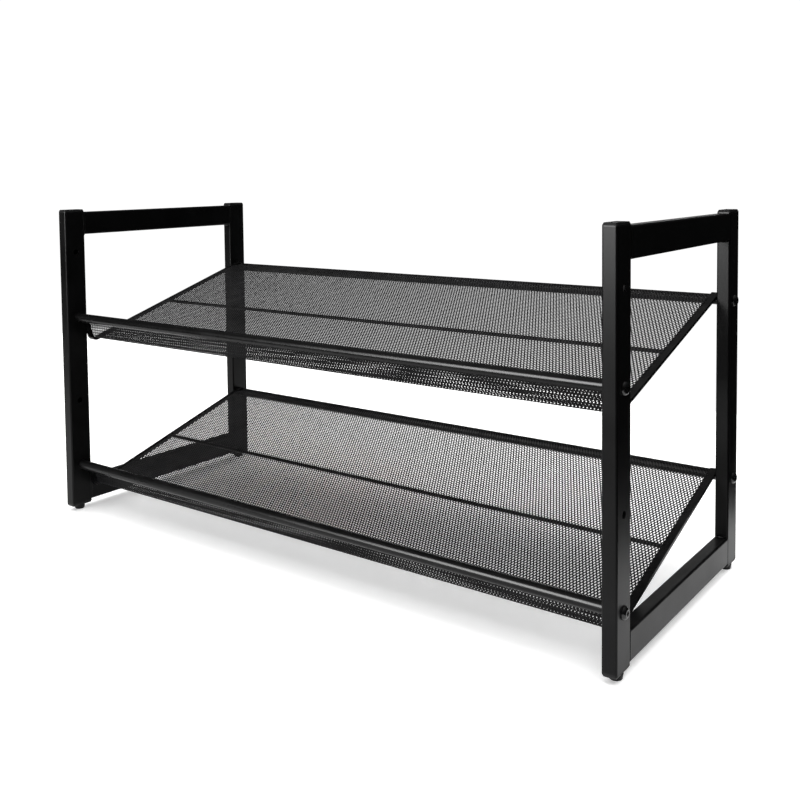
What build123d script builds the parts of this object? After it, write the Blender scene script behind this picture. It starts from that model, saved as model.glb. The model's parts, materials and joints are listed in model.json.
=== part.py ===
from build123d import *
from math import atan, degrees
import os

# Two-tier shoe rack: two welded side frames of flat tube, with two mesh shelves bolted between them.
# Millimetres.  X runs along the rack, -Y is its front and +Z is up.  The origin is on the floor under
# the middle of the rack.

# ---- overall size -------------------------------------------------------------------------------
rack_width = 744.0        # over the outer faces of the two side frames, without the bolt heads
rack_depth = 306.0        # over the front and rear faces of the posts
rack_height = 380.0       # floor to the top of the caps

# ---- flat tube of the side frames ---------------------------------------------------------------
tube_thin = 14.0          # across X
tube_wide = 28.0          # across Y in a post, across Z in a rail
tube_corner = 2.0         # outer corner radius
tube_wall = 1.2

# ---- plugs in the ends of the posts -------------------------------------------------------------
cap_height = 3.5          # what a top cap adds to its post
bevel_in = 1.3            # bevel round a plug's flange, across its face
bevel_along = 2.3         # and along the post
plug_clearance = 0.1      # between a plug's fins and the tube wall
plug_length = 14.0        # stem inside the tube
plug_core_step = 1.6      # the stem's core is this much smaller all round than its fins
plug_fins = 3
plug_fin_height = 1.4
foot_plate_height = 4.0   # flange of a foot plug
foot_height = 5.5         # round foot under that flange
foot_top_radius = 6.5
foot_bottom_radius = 5.6
foot_edge_radius = 1.0    # rounding round the sole

# ---- shelf tubes and their bolts ----------------------------------------------------------------
shelf_tube_radius = 5.5
shelf_tube_wall = 1.0
insert_clearance = 0.05   # threaded insert inside the shelf tube
insert_length = 16.0
thread_radius = 3.0       # M6
thread_clearance = 0.05   # bolt in the insert's thread, both plain cylinders
bolt_length = 25.0        # under the head
bolt_hole_radius = 3.5    # through both walls of a post
head_radius = 6.0
head_height = 3.6
head_rim = 0.7            # straight edge under the head's dome
head_flat_radius = 3.4    # flat top of the dome
socket_across_flats = 4.0
socket_depth = 2.2

# ---- shelf heights ------------------------------------------------------------------------------
lower_pivot_height = 98.5    # rear bolt of the lower shelf above the floor
shelf_pitch = 187.0          # from one shelf to the next
hole_rise = 41.0             # front bolt holes lie this far below and above the rear one

# ---- mesh, end bars and middle wire of a shelf --------------------------------------------------
mesh_thickness = 1.0
mesh_overlap = 2.0        # of the mesh onto each end bar
mesh_inner_bend = 4.0     # inside radius of the mesh's bend at the lip
mesh_drop_start = 15.0    # the mesh comes down onto the rear tube between these distances
mesh_drop_end = 5.0
rear_edge = 0.5           # mesh and bars end this far before the rear tube's centre
lip_short = 1.0           # and this far below the front tube's centre
weld_sink = 0.4           # depth to which the bars are let into the shelf tubes
bar_width = 8.0
bar_thickness = 3.0
bar_gap = 0.5             # between a post and the end bar beside it
wire_radius = 2.25
wire_setback = 141.0      # from the rear tube to the wire, along the deck

# ---- worked out ---------------------------------------------------------------------------------
post_bottom = foot_height + foot_plate_height
post_top = rack_height - cap_height
post_x = rack_width / 2 - tube_thin / 2
post_y = rack_depth / 2 - tube_wide / 2
inner_face_x = rack_width / 2 - tube_thin
hole_span = 2 * post_y
# Turning a shelf by this angle about its rear bolts brings its front tube from the lower front holes
# to the upper ones, and its deck from the slope to level.
tilt = 2 * atan(hole_rise / hole_span)
lip_y = weld_sink + shelf_tube_radius - hole_span    # front of the bars, in the shelf's own frame
lip_top = hole_rise - lip_short
bar_outer_x = inner_face_x - bar_gap
bar_inner_x = bar_outer_x - bar_width
bar_low = shelf_tube_radius - weld_sink      # underside of the bars, above the rear tube's centre
bar_high = bar_low + bar_thickness           # the mesh and the bars meet here
pivot_heights = {"lower": lower_pivot_height, "upper": lower_pivot_height + shelf_pitch}
sides = {"left": -1, "right": 1}
ends = {"front": -1, "rear": 1}


def along_x(radius, length, x=0, y=0, z=0):
    """A round bar along X with its middle at the point given."""
    return Pos(x, y, z) * Rot(0, 90, 0) * Cylinder(radius, length)


def tube_outline(inset, corner):
    """The flat tube's outline, made smaller by inset all round."""
    return RectangleRounded(tube_thin - 2 * inset, tube_wide - 2 * inset, corner)


def flat_tube(length):
    """A length of the flat tube, standing on Z = 0."""
    bore = tube_outline(tube_wall, tube_corner - tube_wall)
    return extrude(tube_outline(0, tube_corner) - bore, length)


# ---- side frames --------------------------------------------------------------------------------
def hole_heights(end):
    """Heights of the bolt holes in a front or a rear post."""
    if end == "rear":
        return list(pivot_heights.values())
    return [height + step for height in pivot_heights.values() for step in (-hole_rise, hole_rise)]


def post(side, end):
    """A post, with its bolt holes through both walls."""
    body = flat_tube(post_top - post_bottom)
    for height in hole_heights(end):
        body -= along_x(bolt_hole_radius, 2 * tube_thin, z=height - post_bottom)
    return Pos(sides[side] * post_x, ends[end] * post_y, post_bottom) * body


def rail(side, low_edge):
    """A rail between the two posts of a side frame, low_edge above the floor."""
    length = rack_depth - 2 * tube_wide
    lying = Rot(90, 0, 0) * flat_tube(length)
    return Pos(sides[side] * post_x, length / 2, low_edge + tube_wide / 2) * lying


def plug_stem():
    """The part of a plug inside its tube, standing on Z = 0: a core with fins round it."""
    corner = tube_corner - tube_wall
    fin_inset = tube_wall + plug_clearance
    stem = extrude(tube_outline(fin_inset + plug_core_step, corner), plug_length)
    pitch = plug_length / plug_fins
    for index in range(plug_fins):
        fin = extrude(tube_outline(fin_inset, corner), plug_fin_height)
        stem += Pos(0, 0, (index + 1) * pitch - plug_fin_height) * fin
    return stem


def plug_flange(height):
    """A plug's flange, standing on Z = 0 and bevelled round its upper face."""
    plate = extrude(tube_outline(0, tube_corner), height)
    face = plate.faces().sort_by(Axis.Z)[-1]
    return chamfer(face.edges(), bevel_in, bevel_along, reference=face)


def top_cap(side, end):
    """A plastic cap that closes the top of a post."""
    cap = plug_flange(cap_height) + mirror(plug_stem(), Plane.XY)
    return Pos(sides[side] * post_x, ends[end] * post_y, post_top) * cap


def foot_plug(side, end):
    """A plastic plug in the bottom of a post, with a round tapered foot under its flange."""
    foot = Pos(0, 0, foot_height / 2) * Cone(foot_bottom_radius, foot_top_radius, foot_height)
    foot = fillet(foot.edges().sort_by(Axis.Z)[0], foot_edge_radius)
    flange = mirror(plug_flange(foot_plate_height), Plane.XY)
    plug = foot + Pos(0, 0, post_bottom) * (flange + plug_stem())
    return Pos(sides[side] * post_x, ends[end] * post_y, 0) * plug


# ---- bolts and inserts --------------------------------------------------------------------------
def bolt():
    """A button-head bolt along X: head on X = 0, thread towards -X."""
    outline = Polyline((0, 0), (head_radius, 0), (head_radius, head_rim))
    dome = ThreePointArc((head_radius, head_rim), (0.83 * head_radius, 0.7 * head_height),
                         (head_flat_radius, head_height))
    closing = Polyline((head_flat_radius, head_height), (0, head_height), (0, 0))
    profile = make_face(Curve() + [outline, dome, closing])
    head = revolve(Plane.XZ * profile, Axis.Z)
    socket = extrude(RegularPolygon(socket_across_flats / 2, 6, major_radius=False), socket_depth)
    head -= Pos(0, 0, head_height - socket_depth) * socket
    shank_radius = thread_radius - thread_clearance
    shank = Pos(0, 0, -bolt_length / 2) * Cylinder(shank_radius, bolt_length)
    return Rot(0, 90, 0) * (head + shank)


def insert():
    """A threaded insert along X: outer face on X = 0, body towards -X."""
    outer = shelf_tube_radius - shelf_tube_wall - insert_clearance
    sleeve = Cylinder(outer, insert_length) - Cylinder(thread_radius, insert_length)
    return Pos(-insert_length / 2, 0, 0) * Rot(0, 90, 0) * sleeve


def at_end(piece, side, x):
    """A piece made for the right-hand end, placed on the side asked for."""
    placed = Pos(x, 0, 0) * piece
    if side == "left":
        placed = mirror(placed, Plane.YZ)
    return placed


# ---- one shelf, in its own frame ----------------------------------------------------------------
# The shelf's own frame has its origin on the rear tube's axis.  -Y runs along the deck to the front,
# and Z is square to the deck, so the front tube lies at (-hole_span, hole_rise).
def strip(low_side, thickness, inner_bend, width):
    """A bent strip against the rear side of the front tube, width across X.

    low_side lists its lower corners from the rear forwards; the last one is the bend at the lip, where
    the strip turns up square.
    """
    front = low_side[-1][0]
    high_side = [(y, z + thickness) for y, z in low_side[:-1]]
    high_side.append((front + thickness, low_side[-1][1] + thickness))
    outside = FilletPolyline(*low_side, (front, lip_top), radius=inner_bend + thickness)
    inside = FilletPolyline(*high_side, (front + thickness, lip_top), radius=inner_bend)
    rear = Line(low_side[0], high_side[0])
    tip = Line((front, lip_top), (front + thickness, lip_top))
    section = make_face(Curve() + [outside, tip, inside, rear])
    body = extrude(Plane.YZ * section, width / 2, both=True)
    for end in ends:
        body -= tube_place(end) * along_x(shelf_tube_radius, 2 * rack_width)
    return body


def tube_place(end):
    """Where a shelf's front or rear tube runs."""
    if end == "rear":
        return Pos(0, 0, 0)
    return Pos(0, -hole_span, hole_rise)


def shelf_tube(end):
    """A round tube from post to post."""
    length = 2 * inner_face_x
    tube = along_x(shelf_tube_radius, length) - along_x(shelf_tube_radius - shelf_tube_wall, length)
    return tube_place(end) * tube


def end_bar(side):
    """The flat bar at one end of the shelf, from the rear tube to the front one."""
    bar = strip([(-rear_edge, bar_low), (lip_y, bar_low)], bar_thickness,
                mesh_inner_bend + mesh_thickness, bar_width)
    return Pos(sides[side] * (bar_outer_x - bar_width / 2), 0, 0) * bar


def mesh():
    """The bent mesh on the bars, as a plain sheet of the mesh's overall thickness."""
    low_side = [(-rear_edge, bar_low), (-mesh_drop_end, bar_low), (-mesh_drop_start, bar_high),
                (lip_y + bar_thickness, bar_high)]
    sheet = strip(low_side, mesh_thickness, mesh_inner_bend, 2 * (bar_inner_x + mesh_overlap))
    for side in sides:
        sheet -= end_bar(side)
    return sheet


def middle_wire():
    """The round wire under the middle of the mesh, from one end bar to the other."""
    return along_x(wire_radius, 2 * bar_inner_x, y=-wire_setback, z=bar_high - wire_radius)


def shelf_pieces():
    """Every piece of a shelf and its fastenings, by name, in the shelf's own frame."""
    pieces = {"mesh_deck": mesh(), "middle_wire": middle_wire()}
    for side in sides:
        pieces[f"end_bar_{side}"] = end_bar(side)
        for end in ends:
            pieces[f"{end}_bolt_{side}"] = tube_place(end) * at_end(bolt(), side, rack_width / 2)
            pieces[f"{end}_insert_{side}"] = tube_place(end) * at_end(insert(), side, inner_face_x)
    for end in ends:
        pieces[f"{end}_tube"] = shelf_tube(end)
    return pieces


# ---- the whole rack -----------------------------------------------------------------------------
def rack_pieces():
    """Every piece of the rack, by name, in place."""
    pieces = {}
    for side in sides:
        pieces[f"bottom_rail_{side}"] = rail(side, post_bottom)
        pieces[f"top_rail_{side}"] = rail(side, post_top - tube_wide)
        for end in ends:
            pieces[f"post_{end}_{side}"] = post(side, end)
            pieces[f"top_cap_{end}_{side}"] = top_cap(side, end)
            pieces[f"foot_plug_{end}_{side}"] = foot_plug(side, end)
    for shelf, height in pivot_heights.items():
        place = Pos(0, post_y, height) * Rot(degrees(tilt), 0, 0)
        for name, piece in shelf_pieces().items():
            pieces[f"{shelf}_{name}"] = place * piece
    return pieces


os.makedirs("parts", exist_ok=True)
rack = rack_pieces()
for name, piece in rack.items():
    piece.label = name
    export_step(piece, f"parts/{name}.step")
print(f"{len(rack)} pieces, deck tilt {degrees(tilt):.2f} degrees")
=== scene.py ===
# %% [markdown]
# # A sloping shoe rack in black powder coat
#
# The rack is two welded side frames of flat steel tube, with two sloping shelves of expanded mesh
# bolted between them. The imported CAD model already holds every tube, bar, bolt, cap and foot at its
# true size, so this script leaves those where they are. It adds what the CAD leaves plain: the open
# mesh of the shelves, the weld beads at the joints, the finishes, the light and the camera.

# %% Load the frame and keep the size of the CAD model
import bpy
import json
import math
import numpy as np
from mathutils import Matrix, Vector

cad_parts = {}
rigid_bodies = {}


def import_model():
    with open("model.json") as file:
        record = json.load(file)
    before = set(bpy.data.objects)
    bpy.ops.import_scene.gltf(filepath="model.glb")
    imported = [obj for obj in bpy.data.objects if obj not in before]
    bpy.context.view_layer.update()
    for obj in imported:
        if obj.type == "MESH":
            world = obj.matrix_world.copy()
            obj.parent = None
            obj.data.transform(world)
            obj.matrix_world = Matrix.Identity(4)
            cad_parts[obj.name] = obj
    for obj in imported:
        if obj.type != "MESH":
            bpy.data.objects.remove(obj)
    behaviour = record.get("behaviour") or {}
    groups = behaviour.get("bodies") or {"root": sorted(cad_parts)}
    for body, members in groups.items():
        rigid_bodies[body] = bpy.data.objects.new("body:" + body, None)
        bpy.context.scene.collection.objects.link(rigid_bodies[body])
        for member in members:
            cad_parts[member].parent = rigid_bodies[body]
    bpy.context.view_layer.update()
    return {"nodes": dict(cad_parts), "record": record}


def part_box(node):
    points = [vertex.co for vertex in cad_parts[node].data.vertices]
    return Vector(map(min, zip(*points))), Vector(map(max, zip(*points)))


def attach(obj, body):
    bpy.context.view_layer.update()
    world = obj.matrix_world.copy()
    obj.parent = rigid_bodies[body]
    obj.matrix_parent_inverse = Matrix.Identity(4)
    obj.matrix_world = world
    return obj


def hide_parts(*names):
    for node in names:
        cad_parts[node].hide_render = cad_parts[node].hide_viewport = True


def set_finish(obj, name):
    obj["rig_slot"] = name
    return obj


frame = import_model()
scene = bpy.context.scene
MM = 0.001
ROOT = "root"
SHELVES = ("lower", "upper")
SIDES = {"left": -1, "right": 1}
ENDS = {"front": -1, "rear": 1}
print(len(frame["nodes"]), "CAD nodes")

# %% [markdown]
# ## The shelf's own frame
#
# Each shelf is easiest to describe lying flat: y runs along the deck from the rear tube towards the
# rear wall, n is square to the deck, and the rear tube's axis is the origin. Bolted level, the front
# tube would sit as high above the rear tube as it now hangs below it, so the shelf is turned by twice
# the angle whose tangent is the drop between the two tubes over the distance between them. Reading
# both tubes from the CAD boxes keeps the mesh tied to the model instead of to copied heights.

# %% The shelf's own frame
def tube_axis(node):
    """Centre (y, z) and radius of a round tube along X: the middle and half height of its box."""
    low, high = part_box(node)
    centre = np.array([(low.y + high.y) / 2, (low.z + high.z) / 2])
    return centre, (high.z - low.z) / 2


class ShelfFrame:
    """Turns points (x, y, n) of a shelf lying flat into points of the rack."""

    def __init__(self, shelf):
        self.rear, self.tube_radius = tube_axis(f"{shelf}_rear_tube")
        front, _ = tube_axis(f"{shelf}_front_tube")
        self.span, self.drop = self.rear - front
        self.tilt = 2 * math.atan2(self.drop, self.span)

    def place(self, x, y, n):
        """Rotation by the tilt about the rear tube: Y = y cos - n sin, Z = y sin + n cos."""
        cosine, sine = math.cos(self.tilt), math.sin(self.tilt)
        return np.stack(
            [x, self.rear[0] + y * cosine - n * sine, self.rear[1] + y * sine + n * cosine], axis=-1
        )


shelf_frames = {shelf: ShelfFrame(shelf) for shelf in SHELVES}
for shelf, place in shelf_frames.items():
    print(shelf, "shelf tilts", round(math.degrees(place.tilt), 2), "degrees")

# %% [markdown]
# ## The line that the mesh follows
#
# Seen from the side, the mesh starts on top of the rear tube, steps up onto the end bars, runs
# straight to the front and turns up into the lip that keeps shoes from sliding off. In the
# workshop this is one sheet bent in a press brake. Here it is a line of corners with each corner
# rounded by an arc, and the mesh is later carried along it by its length from the rear, so that the
# openings keep their size round the bend, as they do on the real sheet.

# %% A rounded line, measured by its length
def rounded_line(corners, radii, arc_points=24):
    """Corners joined by straight runs and arcs.

    At a corner that turns by an angle a, an arc of radius r starts r tan(a / 2) before the corner
    and ends as far after it. Its centre lies r / cos(a / 2) from the corner, inside the turn.
    """
    corners = np.asarray(corners, float)
    line = [corners[:1]]
    for before, corner, after, radius in zip(corners, corners[1:], corners[2:], radii):
        to_before = (before - corner) / np.linalg.norm(before - corner)
        to_after = (after - corner) / np.linalg.norm(after - corner)
        half_turn = (math.pi - math.acos(np.clip(to_before @ to_after, -1, 1))) / 2
        inward = (to_before + to_after) / np.linalg.norm(to_before + to_after)
        centre = corner + inward * radius / math.cos(half_turn)
        across = (to_after - to_before) / np.linalg.norm(to_after - to_before)
        angles = np.linspace(-half_turn, half_turn, arc_points)[:, None]
        line.append(centre + radius * (across * np.sin(angles) - inward * np.cos(angles)))
    line.append(corners[-1:])
    return np.concatenate(line)


def along_line(line, distance):
    """Point and right-hand normal (dn, -dy) at each distance along the line, by interpolation.

    Going forwards the normal points up from the deck, and on the lip it points to the rear.
    """
    steps = np.diff(line, axis=0)
    lengths = np.linalg.norm(steps, axis=1)
    reached = np.concatenate([[0], np.cumsum(lengths)])
    middles = (reached[1:] + reached[:-1]) / 2
    normals = np.stack([steps[:, 1], -steps[:, 0]], axis=1) / lengths[:, None]
    points = np.stack([np.interp(distance, reached, line[:, k]) for k in (0, 1)], axis=-1)
    facing = np.stack([np.interp(distance, middles, normals[:, k]) for k in (0, 1)], axis=-1)
    facing /= np.linalg.norm(facing, axis=-1, keepdims=True)
    return points, facing


WELD_SINK = 0.4 * MM          # depth to which bars and mesh are let into the shelf tubes
BAR_WIDTH = 8.0 * MM
BAR_THICKNESS = 3.0 * MM
MESH_HEIGHT = 0.48 * MM       # overall, over the twisted strands
MESH_BEND = 4.5 * MM          # radius at the middle of the mesh, where it turns up into the lip
MESH_STEP = (5.0 * MM, 15.0 * MM)     # the mesh steps up onto the bars between these distances
MESH_REAR = 0.5 * MM
LIP_SHORT = 1.0 * MM          # the lip ends this far below the front tube's centre

place = shelf_frames["lower"]
bar_low = place.tube_radius - WELD_SINK
bar_high = bar_low + BAR_THICKNESS
lip_y = WELD_SINK + place.tube_radius - place.span
mesh_middle = MESH_HEIGHT / 2
lip_line = lip_y + BAR_THICKNESS + mesh_middle
mesh_line = rounded_line(
    [
        (-MESH_REAR, bar_low + mesh_middle),
        (-MESH_STEP[0], bar_low + mesh_middle),
        (-MESH_STEP[1], bar_high + mesh_middle),
        (lip_line, bar_high + mesh_middle),
        (lip_line, place.drop - LIP_SHORT),
    ],
    [MESH_BEND, MESH_BEND, MESH_BEND],
)
mesh_length = float(np.linalg.norm(np.diff(mesh_line, axis=0), axis=1).sum())
print("the mesh is", round(mesh_length / MM, 1), "mm long from rear tube to lip")

# %% [markdown]
# ## A helper that makes a piece from whole arrays
#
# Every new piece is worked out as arrays of corners and faces and handed over in one go. The helper
# also makes sure that the faces point outwards: a closed surface has a positive volume only when
# they do, so a negative volume means that every face has to be turned round.

# %% Arrays to a piece
def make_piece(name, corners, faces, smooth):
    """A mesh object at the origin; its volume is the sum of corner . (corner x corner) / 6."""
    a, b, c = (corners[faces[:, k]] for k in (0, 1, 2))
    volume = float(np.einsum("ij,ij->", a, np.cross(b, c)) / 6)
    if volume < 0:
        faces = faces[:, ::-1]
    surface = bpy.data.meshes.new(name)
    surface.from_pydata(corners, [], faces)
    surface.update()
    surface.polygons.foreach_set("use_smooth", np.full(len(surface.polygons), smooth))
    piece = bpy.data.objects.new(name, surface)
    scene.collection.objects.link(piece)
    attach(piece, ROOT)
    print(name, len(faces), "triangles,", round(abs(volume) * 1e6, 2), "cubic centimetres")
    return piece


# %% [markdown]
# ## Expanded mesh
#
# Expanded mesh starts as a plain sheet. A press cuts rows of short slits and pulls the sheet open,
# and each slit becomes a diamond. What is left between the diamonds are narrow strands, twisted a
# little out of the sheet because the pull tips them over, and wider bonds where four strands meet.
#
# A picture of holes on a flat sheet would look right from one side only, so the strands are real
# geometry. Every diamond is one cell of a lattice in which each second place holds an opening and
# the places between hold bonds. A cell has four bond corners, which it shares with its neighbours,
# and six corners round its own opening. Lowering the opening's right-hand corners a little and raising
# the left-hand ones gives the strands a slight twist. A cell costs 32 triangles, which matters, because
# each shelf has over seventeen thousand of them.

# %% The lattice of one run of mesh
SHORT_WAY = 3.46 * MM         # from opening to opening along X
LONG_WAY = 7.0 * MM           # from opening to opening from the rear to the lip
STRAND_THICKNESS = 0.42 * MM
OPENING_WIDE = 1.03 * MM      # half width of an opening
OPENING_LONG = 1.80 * MM      # half length up to its blunt tips
OPENING_TIP = 0.2 * MM        # half width of a blunt tip
STRAND_TWIST = (MESH_HEIGHT - STRAND_THICKNESS) / 2
CELL_CORNERS = np.array([(1, 0), (0, 1), (-1, 0), (0, -1)])
OPENING = np.array([(1, 0), (OPENING_TIP / OPENING_WIDE, 1), (-OPENING_TIP / OPENING_WIDE, 1),
                    (-1, 0), (-OPENING_TIP / OPENING_WIDE, -1), (OPENING_TIP / OPENING_WIDE, -1)])
# Corners 0 to 3 are the cell's bonds and 4 to 9 its opening, all on one side of the sheet.
CELL_FACES = np.array([(0, 1, 5), (0, 5, 4), (1, 6, 5), (1, 2, 7), (1, 7, 6),
                       (2, 3, 8), (2, 8, 7), (3, 9, 8), (3, 0, 4), (3, 4, 9)])


def mesh_run(columns, rows, across, step):
    """Corners (x, s, h) and triangles of the cells whose centres are in columns x rows.

    s is the length along the sheet from the rear, and h the depth below the middle of the deck.

    A place (i, j) of the lattice lies at x = i across, s = j step. Cells sit where i + j is even.
    """
    i, j = np.meshgrid(np.arange(*columns), np.arange(1, rows), indexing="ij")
    keep = (i + j) % 2 == 0
    centres = np.stack([i[keep], j[keep]], axis=1)
    count = len(centres)
    bonds = centres[:, None] + CELL_CORNERS
    places, shared = np.unique(bonds.reshape(-1, 2), axis=0, return_inverse=True)
    shared = shared.reshape(count, 4)
    pitch = np.array([across, step])
    openings = centres[:, None] * pitch + OPENING * (OPENING_WIDE, OPENING_LONG)
    flat = np.concatenate([places * pitch, openings.reshape(-1, 2)])
    twist = np.concatenate([np.zeros(len(places)), np.tile(OPENING[:, 0] * STRAND_TWIST, count)])
    own = len(places) + np.arange(count * 6).reshape(count, 6)
    top = np.concatenate([shared, own], axis=1)[:, CELL_FACES].reshape(-1, 3)
    below = len(flat)
    # walls round every opening, and along the edges that only one cell has
    edges = np.stack([own, np.roll(own, -1, axis=1)], axis=-1).reshape(-1, 2)
    rim = np.stack([shared, np.roll(shared, -1, axis=1)], axis=-1).reshape(-1, 2)
    _, first, uses = np.unique(np.sort(rim, axis=1), axis=0, return_index=True, return_counts=True)
    edges = np.concatenate([edges, rim[first[uses == 1]][:, ::-1]])
    a, b = edges.T
    walls = np.concatenate([np.stack([a, b, b + below], 1), np.stack([a, b + below, a + below], 1)])
    half = STRAND_THICKNESS / 2
    corners = np.concatenate([np.column_stack([flat, twist + side * half]) for side in (1, -1)])
    return corners, np.concatenate([top, top[:, ::-1] + below, walls])


# %% [markdown]
# ## The shelves' mesh
#
# Each shelf's mesh is cut into four strips side by side, so that no piece grows past two hundred
# thousand triangles. The strips meet along the zigzag of the cells, where one ends exactly where
# the next begins. The mesh runs a little way onto the end bars, to which it is welded.

# %% Carry the mesh along its line
MESH_STRIPS = 4
MESH_OVERLAP = 2.0 * MM       # of the mesh onto each end bar
bar_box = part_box("lower_end_bar_right")
bar_inner_x = bar_box[0].x
mesh_half_width = bar_inner_x + MESH_OVERLAP
half_columns = round(mesh_half_width / (SHORT_WAY / 2))
row_count = round(mesh_length / (LONG_WAY / 2))
across = mesh_half_width / half_columns
step = mesh_length / row_count
print(half_columns, "half columns each side of the middle,", row_count, "rows")

strip_edges = np.linspace(-half_columns + 1, half_columns, MESH_STRIPS + 1).round().astype(int)
for shelf, place in shelf_frames.items():
    for number, columns in enumerate(zip(strip_edges, strip_edges[1:]), start=1):
        flat, triangles = mesh_run(columns, row_count, across, step)
        on_line, facing = along_line(mesh_line, flat[:, 1])
        y, n = (on_line - facing * flat[:, 2:]).T
        piece = make_piece(f"{shelf}_mesh_{number}", place.place(flat[:, 0], y, n), triangles, False)
        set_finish(piece, "mesh_coat")
        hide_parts(f"{shelf}_mesh_deck")

# %% [markdown]
# ## Weld beads
#
# The side frames and the shelves are welded before they are coated. A weld by hand is a row of small
# overlapping puddles, so its surface has ripples across its length, and it starts and ends in a
# rounded dab. Each bead here is a closed tube round a straight line: its radius swells and shrinks
# with each ripple and falls to nothing at both ends. Half of it is buried in the joint, as real
# weld metal is.

# %% A bead as a closed tube
RIPPLE = 1.3 * MM             # length of one puddle
RIPPLE_DEPTH = 0.09           # share of the radius
AROUND = 12
ALONG = 36


def bead(start, end, radius, flatten=1.0, flat_along=(0, 0, 1)):
    """Rings round the line: r(u) = radius (1 - (2u - 1)^6)^(1/2) (1 + depth |sin(pi u L / ripple)|).

    flatten squeezes the rings along flat_along.
    """
    start, end = np.asarray(start, float), np.asarray(end, float)
    length = np.linalg.norm(end - start)
    direction = (end - start) / length
    up = np.asarray(flat_along, float)
    up = up - direction * (up @ direction)
    up /= np.linalg.norm(up)
    side = np.cross(direction, up)
    u = (1 - np.cos(np.linspace(0, math.pi, ALONG + 2)[1:-1])) / 2
    puddles = 1 + RIPPLE_DEPTH * np.abs(np.sin(math.pi * u * length / RIPPLE))
    r = radius * np.sqrt(1 - (2 * u - 1) ** 6) * puddles
    v = np.linspace(0, 2 * math.pi, AROUND, endpoint=False)
    ring = np.cos(v)[:, None] * side + np.sin(v)[:, None] * up * flatten
    rings = start + np.multiply.outer(u * length, direction)[:, None] + r[:, None, None] * ring
    corners = np.concatenate([rings.reshape(-1, 3), [start, end]])
    k, m = np.meshgrid(np.arange(ALONG - 1), np.arange(AROUND), indexing="ij")
    here, beside = k * AROUND + m, k * AROUND + (m + 1) % AROUND
    here, beside = here.ravel(), beside.ravel()
    sides = np.concatenate([np.stack([here, beside, beside + AROUND], 1),
                            np.stack([here, beside + AROUND, here + AROUND], 1)])
    m = np.arange(AROUND)
    last = (ALONG - 1) * AROUND
    pole = len(corners) - 2
    fans = np.concatenate([np.stack([np.full(AROUND, pole), (m + 1) % AROUND, m], 1),
                           np.stack([np.full(AROUND, pole + 1), last + m, last + (m + 1) % AROUND], 1)])
    return corners, np.concatenate([sides, fans])


def join(parts):
    """Several closed surfaces as one pair of arrays."""
    offsets = np.cumsum([0] + [len(corners) for corners, _ in parts])
    faces = [faces + offset for (_, faces), offset in zip(parts, offsets)]
    return np.concatenate([corners for corners, _ in parts]), np.concatenate(faces)


# %% [markdown]
# On a side frame each rail meets a post at a T joint. The outer face is ground flush before
# coating. The bead on the inner face fills the groove beside the post's rounded edge, and a short
# one runs across the corner under the top rail and over the bottom rail.

# %% Beads of the side frames
GROOVE_BEAD = 1.7 * MM
CORNER_BEAD = 1.9 * MM
BEAD_END_GAP = 1.6 * MM       # between a bead's end and the edge of the tube
GROOVE_DEPTH = 0.9 * MM       # from the inner face to the line of the groove bead
GROOVE_STEP = 0.5 * MM        # from the rail's end to the line of the groove bead
for side, sign in SIDES.items():
    parts = []
    for rail in ("top", "bottom"):
        low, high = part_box(f"{rail}_rail_{side}")
        inner_x = low.x if sign > 0 else high.x
        corner_z = low.z if rail == "top" else high.z
        for end in ENDS.values():
            joint_y = high.y if end > 0 else low.y
            groove_y = joint_y + end * GROOVE_STEP
            groove_x = inner_x + sign * GROOVE_DEPTH
            parts.append(bead((groove_x, groove_y, low.z + BEAD_END_GAP),
                              (groove_x, groove_y, high.z - BEAD_END_GAP),
                              GROOVE_BEAD, 1.0, (0, 1, 0)))
            parts.append(bead((low.x + BEAD_END_GAP, joint_y, corner_z),
                              (high.x - BEAD_END_GAP, joint_y, corner_z), CORNER_BEAD))
    piece = make_piece(f"frame_welds_{side}", *join(parts), True)
    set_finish(piece, "frame_coat")

# %% [markdown]
# On a shelf the flat end bars are welded to both round tubes, and the middle wire to the inner
# edges of the bars. These are short dabs, only as long as the bar is wide.

# %% Beads of the shelves
DAB = 1.3 * MM
WIRE_DAB = 2.3 * MM
DAB_END_GAP = 0.4 * MM        # between a dab's end and the edge of the bar
WIRE_DAB_REACH = (3.0 * MM, 0.6 * MM)     # along the wire: before and past the bar's inner edge
for shelf, place in shelf_frames.items():
    wire_axis, _ = tube_axis(f"{shelf}_middle_wire")
    # where the dabs run in the shelf's own frame: two at the rear tube, two at the front tube
    dab_lines = (
        (-3.6 * MM, bar_low - 0.5 * MM),
        (-0.2 * MM, bar_low + 1.2 * MM),
        (lip_y - 0.4 * MM, place.drop - 4.6 * MM),
        (lip_y + 0.6 * MM, place.drop),
    )
    parts = []
    for sign in SIDES.values():
        x = np.array([bar_inner_x + DAB_END_GAP, bar_inner_x + BAR_WIDTH - DAB_END_GAP]) * sign
        for y, n in dab_lines:
            start, end = place.place(x, np.full(2, y), np.full(2, n))
            parts.append(bead(start, end, DAB))
        wire_x = np.array([bar_inner_x - WIRE_DAB_REACH[0], bar_inner_x + WIRE_DAB_REACH[1]]) * sign
        parts.append(bead((wire_x[0], *wire_axis), (wire_x[1], *wire_axis), WIRE_DAB))
    piece = make_piece(f"{shelf}_shelf_welds", *join(parts), True)
    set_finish(piece, "shelf_coat")

# %% [markdown]
# ## Building finishes from nodes
#
# A finish is a small graph of nodes. Two helpers keep the graphs short: one adds a node and fills
# in its settings, the other starts a group. What several finishes share lives in a group, which
# gives out only values that change over the surface. The shader itself stays in each material.

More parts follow.
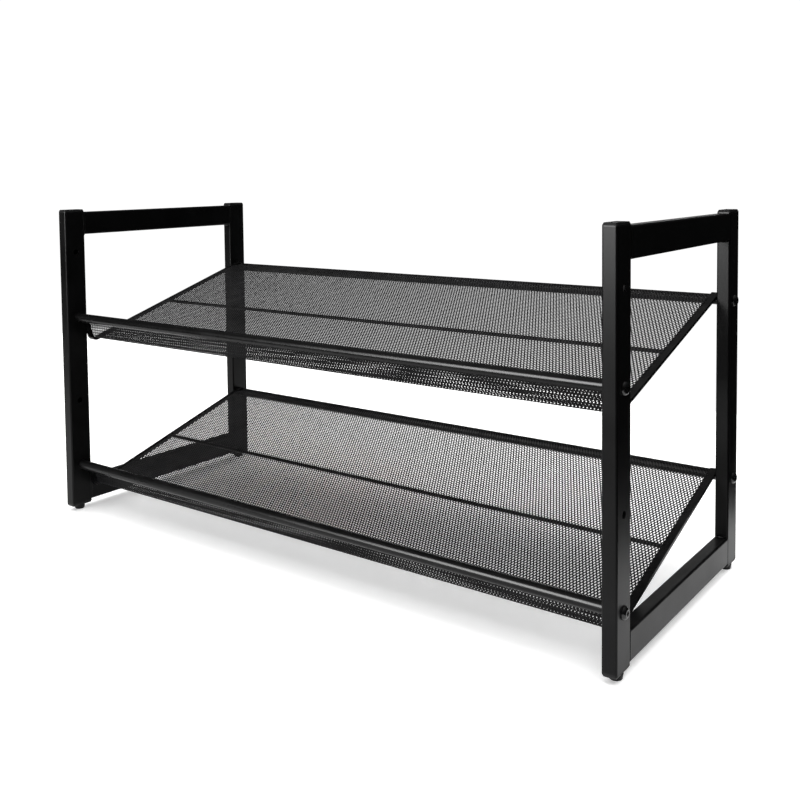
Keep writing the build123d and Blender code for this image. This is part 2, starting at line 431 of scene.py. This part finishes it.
# %% Node helpers
def add(tree, kind, inputs=None, **settings):
    """A node of that kind. inputs maps an input's name or number to a value or a socket."""
    node = tree.nodes.new(kind)
    for name, value in settings.items():
        setattr(node, name, value)
    for name, value in (inputs or {}).items():
        if isinstance(value, bpy.types.NodeSocket):
            tree.links.new(value, node.inputs[name])
        else:
            node.inputs[name].default_value = value
    return node


def maths(tree, operation, *values, clamp=False):
    """The result socket of one step of arithmetic."""
    inputs = dict(enumerate(values))
    return add(tree, "ShaderNodeMath", inputs, operation=operation, use_clamp=clamp).outputs[0]


def new_group(name, inputs, outputs):
    """A node group with number inputs {name: start value} and number outputs."""
    group = bpy.data.node_groups.new(name, "ShaderNodeTree")
    for label, value in inputs.items():
        socket = group.interface.new_socket(label, in_out="INPUT", socket_type="NodeSocketFloat")
        socket.default_value = value
    for label in outputs:
        group.interface.new_socket(label, in_out="OUTPUT", socket_type="NodeSocketFloat")
    return group, group.nodes.new("NodeGroupInput").outputs, group.nodes.new("NodeGroupOutput").inputs


# %% [markdown]
# ### Orange peel
#
# Powder coat is sprayed on dry and melts in an oven. It flows out almost level, but keeps a faint
# pebbled skin, like orange peel, with features about a millimetre across and a few hundredths of a
# millimetre high. Its gloss also drifts a little from place to place. One group gives both: a
# height made of two sizes of noise, and a slow drift from 0 to 1. Moulded plastic has a finer
# texture of the same kind, so the plastic finishes use the same group with smaller features.

# %% Orange peel group
peel_group, given, out = new_group(
    "orange_peel", {"Features per Metre": 900.0, "Drift per Metre": 22.0}, ["Height", "Drift"]
)
place_of = add(peel_group, "ShaderNodeTexCoord").outputs["Object"]
coarse = add(peel_group, "ShaderNodeTexNoise",
             {"Vector": place_of, "Scale": given["Features per Metre"], "Detail": 2.0})
finer = maths(peel_group, "MULTIPLY", given["Features per Metre"], 3.1)
fine = add(peel_group, "ShaderNodeTexNoise", {"Vector": place_of, "Scale": finer, "Detail": 1.0})
fine_share = maths(peel_group, "MULTIPLY", fine.outputs["Fac"], 0.35)
peel_group.links.new(maths(peel_group, "ADD", coarse.outputs["Fac"], fine_share), out["Height"])
drift = add(peel_group, "ShaderNodeTexNoise",
            {"Vector": place_of, "Scale": given["Drift per Metre"], "Detail": 3.0})
spread = add(peel_group, "ShaderNodeMapRange",
             {"Value": drift.outputs["Fac"], "From Min": 0.3, "From Max": 0.7})
peel_group.links.new(spread.outputs["Result"], out["Drift"])

# %% [markdown]
# ### Settled dust
#
# Even a new rack has a trace of dust on whatever faces up. The mask is high where the surface looks
# at the ceiling, and broken up by noise so that it comes in faint patches.

# %% Settled dust group
dust_group, given, out = new_group("settled_dust", {"Amount": 0.5, "Patches per Metre": 60.0}, ["Mask"])
surface_normal = add(dust_group, "ShaderNodeNewGeometry").outputs["Normal"]
upward = add(dust_group, "ShaderNodeSeparateXYZ", {"Vector": surface_normal}).outputs["Z"]
facing_up = maths(dust_group, "POWER", maths(dust_group, "MAXIMUM", upward, 0.0), 3.0)
place_of = add(dust_group, "ShaderNodeTexCoord").outputs["Object"]
patches = add(dust_group, "ShaderNodeTexNoise",
              {"Vector": place_of, "Scale": given["Patches per Metre"], "Detail": 5.0})
broken = add(dust_group, "ShaderNodeMapRange",
             {"Value": patches.outputs["Fac"], "From Min": 0.42, "From Max": 0.75}).outputs["Result"]
mask = maths(dust_group, "MULTIPLY", maths(dust_group, "MULTIPLY", facing_up, broken), given["Amount"])
dust_group.links.new(mask, out["Mask"])

# %% [markdown]
# ### Painted edge highlights
#
# Sharp edges are painted a shade lighter. This is a painted highlight, standing in for the thin lines of
# light along the edges of the tubes. The powder coat, which draws back from a sharp edge as it melts, is
# also a little thinner there. The Bevel node gives the normal that the surface would have with a rounded
# edge. Where that differs from the true normal, there is an edge.

# %% Painted edge highlight group
edge_highlight_group, given, out = new_group("painted_edge_highlight", {"Reach": 0.001}, ["Mask"])
# painted highlight: this mask marks the edges that the finishes paint lighter
rounded = add(edge_highlight_group, "ShaderNodeBevel", {"Radius": given["Reach"]}, samples=4).outputs["Normal"]
true_normal = add(edge_highlight_group, "ShaderNodeNewGeometry").outputs["Normal"]
same = add(edge_highlight_group, "ShaderNodeVectorMath", {0: rounded, 1: true_normal},
           operation="DOT_PRODUCT").outputs["Value"]
mask = add(edge_highlight_group, "ShaderNodeMapRange",
           {"Value": same, "From Min": 0.995, "From Max": 0.8}).outputs["Result"]
edge_highlight_group.links.new(mask, out["Mask"])
print("groups:", [group.name for group in bpy.data.node_groups])

# %% [markdown]
# ### Coated and moulded finishes
#
# All the black parts look alike at first glance, but they are not. The side frames have a satin
# coat, the shelf tubes a slightly glossier one, the mesh a thin coat that
# leaves its strands sharp, the bolts a smooth chemical black, and the caps and feet are moulded
# plastic with a fine matt grain. One function makes them all from a few values: the deepest and
# lightest black between which the colour drifts, the roughness and its drift, and the size and
# height of the grain.
#
# Two of the values are set for this studio and aren't true to the material. Real black coats reflect two to
# four percent and have an IOR near 1.5. Here both are lower, because the soft lights below are very strong
# and would turn true values grey. In another scene they should be raised.

# %% A coated finish
COOL_DEEP = (1.0, 1.0, 1.03)      # a trace of blue in the deep and the light black
COOL_LIGHT = (1.0, 1.0, 1.05)
EDGE_HIGHLIGHT = 3                  # a painted edge highlight is this much lighter than the light black
EDGE_SMOOTHER = 0.12
DUST_COLOUR = (0.2, 0.19, 0.18, 1)
DUST_ROUGHER = 0.4


def coated(name, deep, light, roughness, rough_drift, features, height, ior, dust, edge_highlight, reach):
    """Colour and roughness drift together, dust lies on top, edges are painted a shade lighter as a
    highlight.
    """
    material = bpy.data.materials.new(name)
    material.use_nodes = True
    tree = material.node_tree
    shader = tree.nodes["Principled BSDF"]
    shader.inputs["IOR"].default_value = ior
    peel = add(tree, "ShaderNodeGroup", node_tree=peel_group)
    peel.inputs["Features per Metre"].default_value = features
    colour = add(tree, "ShaderNodeMix", {"Factor": peel.outputs["Drift"]}, data_type="RGBA")
    colour.inputs[6].default_value = (*[deep * tint for tint in COOL_DEEP], 1)
    colour.inputs[7].default_value = (*[light * tint for tint in COOL_LIGHT], 1)
    shown = colour.outputs[2]
    rough = maths(tree, "MULTIPLY_ADD", peel.outputs["Drift"], rough_drift, roughness)
    if edge_highlight:
        edge_highlight_mask = add(tree, "ShaderNodeGroup", {"Reach": reach}, node_tree=edge_highlight_group).outputs["Mask"]
        share = maths(tree, "MULTIPLY", edge_highlight_mask, edge_highlight)
        # painted highlight: the edges are mixed towards a lighter black, standing in for light along them
        highlighted_colour = add(tree, "ShaderNodeMix", {"Factor": share, 6: shown}, data_type="RGBA")
        highlighted_colour.inputs[7].default_value = (*[light * EDGE_HIGHLIGHT] * 3, 1)
        shown = highlighted_colour.outputs[2]
        rough = maths(tree, "MULTIPLY_ADD", share, -EDGE_SMOOTHER, rough)
    if dust:
        settled = add(tree, "ShaderNodeGroup", {"Amount": dust}, node_tree=dust_group).outputs["Mask"]
        dusty = add(tree, "ShaderNodeMix", {"Factor": settled, 6: shown}, data_type="RGBA")
        dusty.inputs[7].default_value = DUST_COLOUR
        shown = dusty.outputs[2]
        rough = maths(tree, "MULTIPLY_ADD", settled, DUST_ROUGHER, rough)
    bump = add(tree, "ShaderNodeBump", {"Height": peel.outputs["Height"], "Distance": height,
                                        "Strength": 1.0})
    tree.links.new(shown, shader.inputs["Base Color"])
    tree.links.new(rough, shader.inputs["Roughness"])
    tree.links.new(bump.outputs["Normal"], shader.inputs["Normal"])
    print("finish", name, "black", deep, "to", light, "roughness", roughness)
    return material


# features is per metre, height and reach are in metres, edge is the share of the painted edge highlight.
COATS = {
    "frame_coat": dict(
        name="satin_black_frame", deep=0.0026, light=0.0045, roughness=0.3, rough_drift=0.05,
        features=900, height=2e-05, ior=1.2, dust=0.03, edge_highlight=0.35, reach=0.0012,
    ),
    "shelf_coat": dict(
        name="satin_black_shelf", deep=0.0026, light=0.0045, roughness=0.24, rough_drift=0.06,
        features=1100, height=1.5e-05, ior=1.24, dust=0.03, edge_highlight=0.35, reach=0.0008,
    ),
    "mesh_coat": dict(
        name="thin_black_mesh", deep=0.01, light=0.017, roughness=0.36, rough_drift=0.08,
        features=1600, height=1e-05, ior=1.12, dust=0.05, edge_highlight=0, reach=0,
    ),
    "bolt_steel": dict(
        name="chemical_black_bolt", deep=0.003, light=0.005, roughness=0.2, rough_drift=0.06,
        features=1500, height=6e-06, ior=1.45, dust=0.02, edge_highlight=0.6, reach=0.0005,
    ),
    "cap_plastic": dict(
        name="moulded_black_cap", deep=0.004, light=0.007, roughness=0.36, rough_drift=0.05,
        features=2600, height=1.5e-05, ior=1.28, dust=0.04, edge_highlight=0.4, reach=0.0008,
    ),
    "foot_plastic": dict(
        name="moulded_black_foot", deep=0.003, light=0.006, roughness=0.45, rough_drift=0.05,
        features=2600, height=1.5e-05, ior=1.25, dust=0.03, edge_highlight=0.3, reach=0.0008,
    ),
}
finishes = {slot: coated(**values) for slot, values in COATS.items()}

# %% [markdown]
# ### Turned steel
#
# The threaded inserts sit inside the ends of the shelf tubes. They are bare turned steel: the tool
# leaves fine rings along the axis, so the noise is stretched across X by a Mapping node and drives
# both the roughness and a very low bump.

# %% Turned steel
steel = bpy.data.materials.new("turned_steel")
steel.use_nodes = True
tree = steel.node_tree
shader = tree.nodes["Principled BSDF"]
shader.inputs["Metallic"].default_value = 1.0
where = add(tree, "ShaderNodeTexCoord").outputs["Object"]
stretched = add(tree, "ShaderNodeMapping", {"Vector": where, "Scale": (4000.0, 60.0, 60.0)})
rings = add(tree, "ShaderNodeTexNoise", {"Vector": stretched.outputs["Vector"], "Scale": 1.0, "Detail": 3.0})
ring_rough = maths(tree, "MULTIPLY_ADD", rings.outputs["Fac"], 0.3, 0.2)
grey = add(tree, "ShaderNodeMix", {"Factor": rings.outputs["Fac"]}, data_type="RGBA")
grey.inputs[6].default_value = (0.42, 0.42, 0.43, 1)
grey.inputs[7].default_value = (0.60, 0.60, 0.61, 1)
low_bump = add(tree, "ShaderNodeBump", {"Height": rings.outputs["Fac"], "Distance": 5e-6, "Strength": 1.0})
tree.links.new(grey.outputs[2], shader.inputs["Base Color"])
tree.links.new(ring_rough, shader.inputs["Roughness"])
tree.links.new(low_bump.outputs["Normal"], shader.inputs["Normal"])
finishes["insert_steel"] = steel

# %% [markdown]
# ### Every piece gets its finish
#
# The record says which finish each CAD node has, so the list isn't written out again here. New
# pieces were given a slot name when they were made.

# %% Finishes onto pieces
slot_of = {part["node"]: part["material_slot"] for part in frame["record"]["subparts"]}
for node, thing in frame["nodes"].items():
    thing.data.materials.clear()
    thing.data.materials.append(finishes[slot_of[node]])
for thing in scene.objects:
    if "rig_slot" in thing:
        thing.data.materials.append(finishes[thing["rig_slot"]])
for slot in sorted(finishes):
    print(slot, sum(value == slot for value in slot_of.values()), "CAD nodes")

# %% [markdown]
# ## Floor and light
#
# The rack stands on a plain white floor under one very large overhead light, which gives soft
# shadows. The floor is overexposed and gives off a little light of its own, so it fades into the
# white background and the shadows stay pale. It ends just outside the camera's frame, on the right
# and in front, so that mainly the lowest parts reflect it.
#
# A black satin object shows mostly what it reflects, so light and reflection are set apart. The
# overhead light is kept out of the reflections. A soft light at the front left and a low one behind
# do the opposite: they show only as sheen, the first on the faces that look forwards and the second
# on the top edges. That is a liberty of the computer. In a real studio a lamp always does both.

# %% Floor
# corners seen from above; the right edge runs along the camera's line of sight
FLOOR = ((-1.6, -0.62, 0), (0.66, -0.62, 0), (0.30, 0.80, 0), (-1.6, 0.80, 0))
FLOOR_WHITE = 0.82
FLOOR_GLOW = 0.46
floor_mesh = bpy.data.meshes.new("floor")
floor_mesh.from_pydata(FLOOR, [], [(0, 1, 2, 3)])
floor = bpy.data.objects.new("floor", floor_mesh)
scene.collection.objects.link(floor)
paper = bpy.data.materials.new("white_floor")
paper.use_nodes = True
paper_shader = paper.node_tree.nodes["Principled BSDF"]
paper_shader.inputs["Base Color"].default_value = (*[FLOOR_WHITE] * 3, 1)
paper_shader.inputs["Roughness"].default_value = 1.0
paper_shader.inputs["Specular IOR Level"].default_value = 0.0
paper_shader.inputs["Emission Color"].default_value = (1, 1, 1, 1)
paper_shader.inputs["Emission Strength"].default_value = FLOOR_GLOW
floor_mesh.materials.append(paper)

# %% [markdown]
# The background is white to the camera and dim to everything else, with a faint glow overhead that
# keeps the tops readable from above. A Light Path node in the world makes that choice. Without it, a
# white surround would turn the black coat grey.

# %% Surroundings
SURROUND = 0.012              # what the rack sees at the horizon
CEILING = 0.6                 # and how much more straight up
CEILING_FALLOFF = 4.0         # power of the height at which the glow fades
BACKDROP = 1.05               # what the camera sees
world = bpy.data.worlds.new("studio")
scene.world = world
world.use_nodes = True
tree = world.node_tree
tree.nodes.clear()
seen = add(tree, "ShaderNodeLightPath").outputs["Is Camera Ray"]
heading = add(tree, "ShaderNodeTexCoord").outputs["Generated"]
height = add(tree, "ShaderNodeSeparateXYZ", {"Vector": heading}).outputs["Z"]
overhead_share = maths(tree, "POWER", maths(tree, "MAXIMUM", height, 0.0), CEILING_FALLOFF)
dim = maths(tree, "MULTIPLY_ADD", overhead_share, CEILING, SURROUND)
strength = add(tree, "ShaderNodeMix", {0: seen, 2: dim, 3: BACKDROP}).outputs[0]
glow = add(tree, "ShaderNodeBackground", {"Color": (1, 1, 1, 1), "Strength": strength})
add(tree, "ShaderNodeOutputWorld", {"Surface": glow.outputs[0]})
scene.view_settings.view_transform = "Standard"

# %% Lights
def soft_light(name, place, aim, width, height, power):
    """A rectangular soft light at place that looks at aim and gives sheen only. power is in watts."""
    data = bpy.data.lights.new(name, "AREA")
    data.shape = "RECTANGLE"
    data.size, data.size_y, data.energy = width, height, power
    light = bpy.data.objects.new(name, data)
    scene.collection.objects.link(light)
    light.location = place
    light.rotation_euler = (Vector(aim) - Vector(place)).to_track_quat("-Z", "Y").to_euler()
    light.visible_camera = False
    light.visible_diffuse = False
    print(name, power, "W")


OVERHEAD_STRENGTH = 4.2       # watts on a square metre
OVERHEAD_SPREAD = 90          # degrees of sky that it fills
OVERHEAD_LEAN = -3            # degrees about X and about Y
overhead_data = bpy.data.lights.new("overhead", "SUN")
overhead_data.energy = OVERHEAD_STRENGTH
overhead_data.angle = math.radians(OVERHEAD_SPREAD)
overhead = bpy.data.objects.new("overhead", overhead_data)
overhead.rotation_euler = (math.radians(OVERHEAD_LEAN), math.radians(OVERHEAD_LEAN), 0)
scene.collection.objects.link(overhead)
overhead.visible_glossy = False
soft_light("front_left", (-0.62, -2.2, 0.98), (0.36, -0.15, 0.36), 1.4, 1.4, 220)
soft_light("low_rear", (-0.85, 2.3, 0.42), (0.3, 0.0, 0.36), 1.3, 0.4, 3.5)

# %% [markdown]
# ## Camera
#
# The camera stands in front of the rack's right end, a little above the caps, and looks slightly
# down. The lens is shifted down to bring the feet in without tilting the camera further, as is
# usual for furniture, which keeps the posts nearly upright.

# %% Camera
SENSOR = 36.0                 # mm
LENS = 44.0127                # mm
SHIFT = -0.215                # share of the frame's side
CAMERA_PLACE = (0.69397, -0.87925, 0.42092)
YAW, PITCH, ROLL = 0.6365, 0.0558, -0.0105

camera_data = bpy.data.cameras.new("camera")
camera_data.sensor_width = SENSOR
camera_data.lens = LENS
camera_data.shift_y = SHIFT
camera_data.clip_start, camera_data.clip_end = 0.05, 50.0
camera = bpy.data.objects.new("camera", camera_data)
turn = Matrix.Rotation(YAW, 4, "Z") @ Matrix.Rotation(math.pi / 2 - PITCH, 4, "X")
camera.matrix_world = (Matrix.Translation(CAMERA_PLACE) @ turn
                       @ Matrix.Rotation(ROLL, 4, "Z"))
scene.collection.objects.link(camera)
scene.camera = camera
print("lens", round(camera_data.lens, 2), "mm, shift", round(camera_data.shift_y, 3))

# %% Update the scene, and finish
bpy.context.view_layer.update()
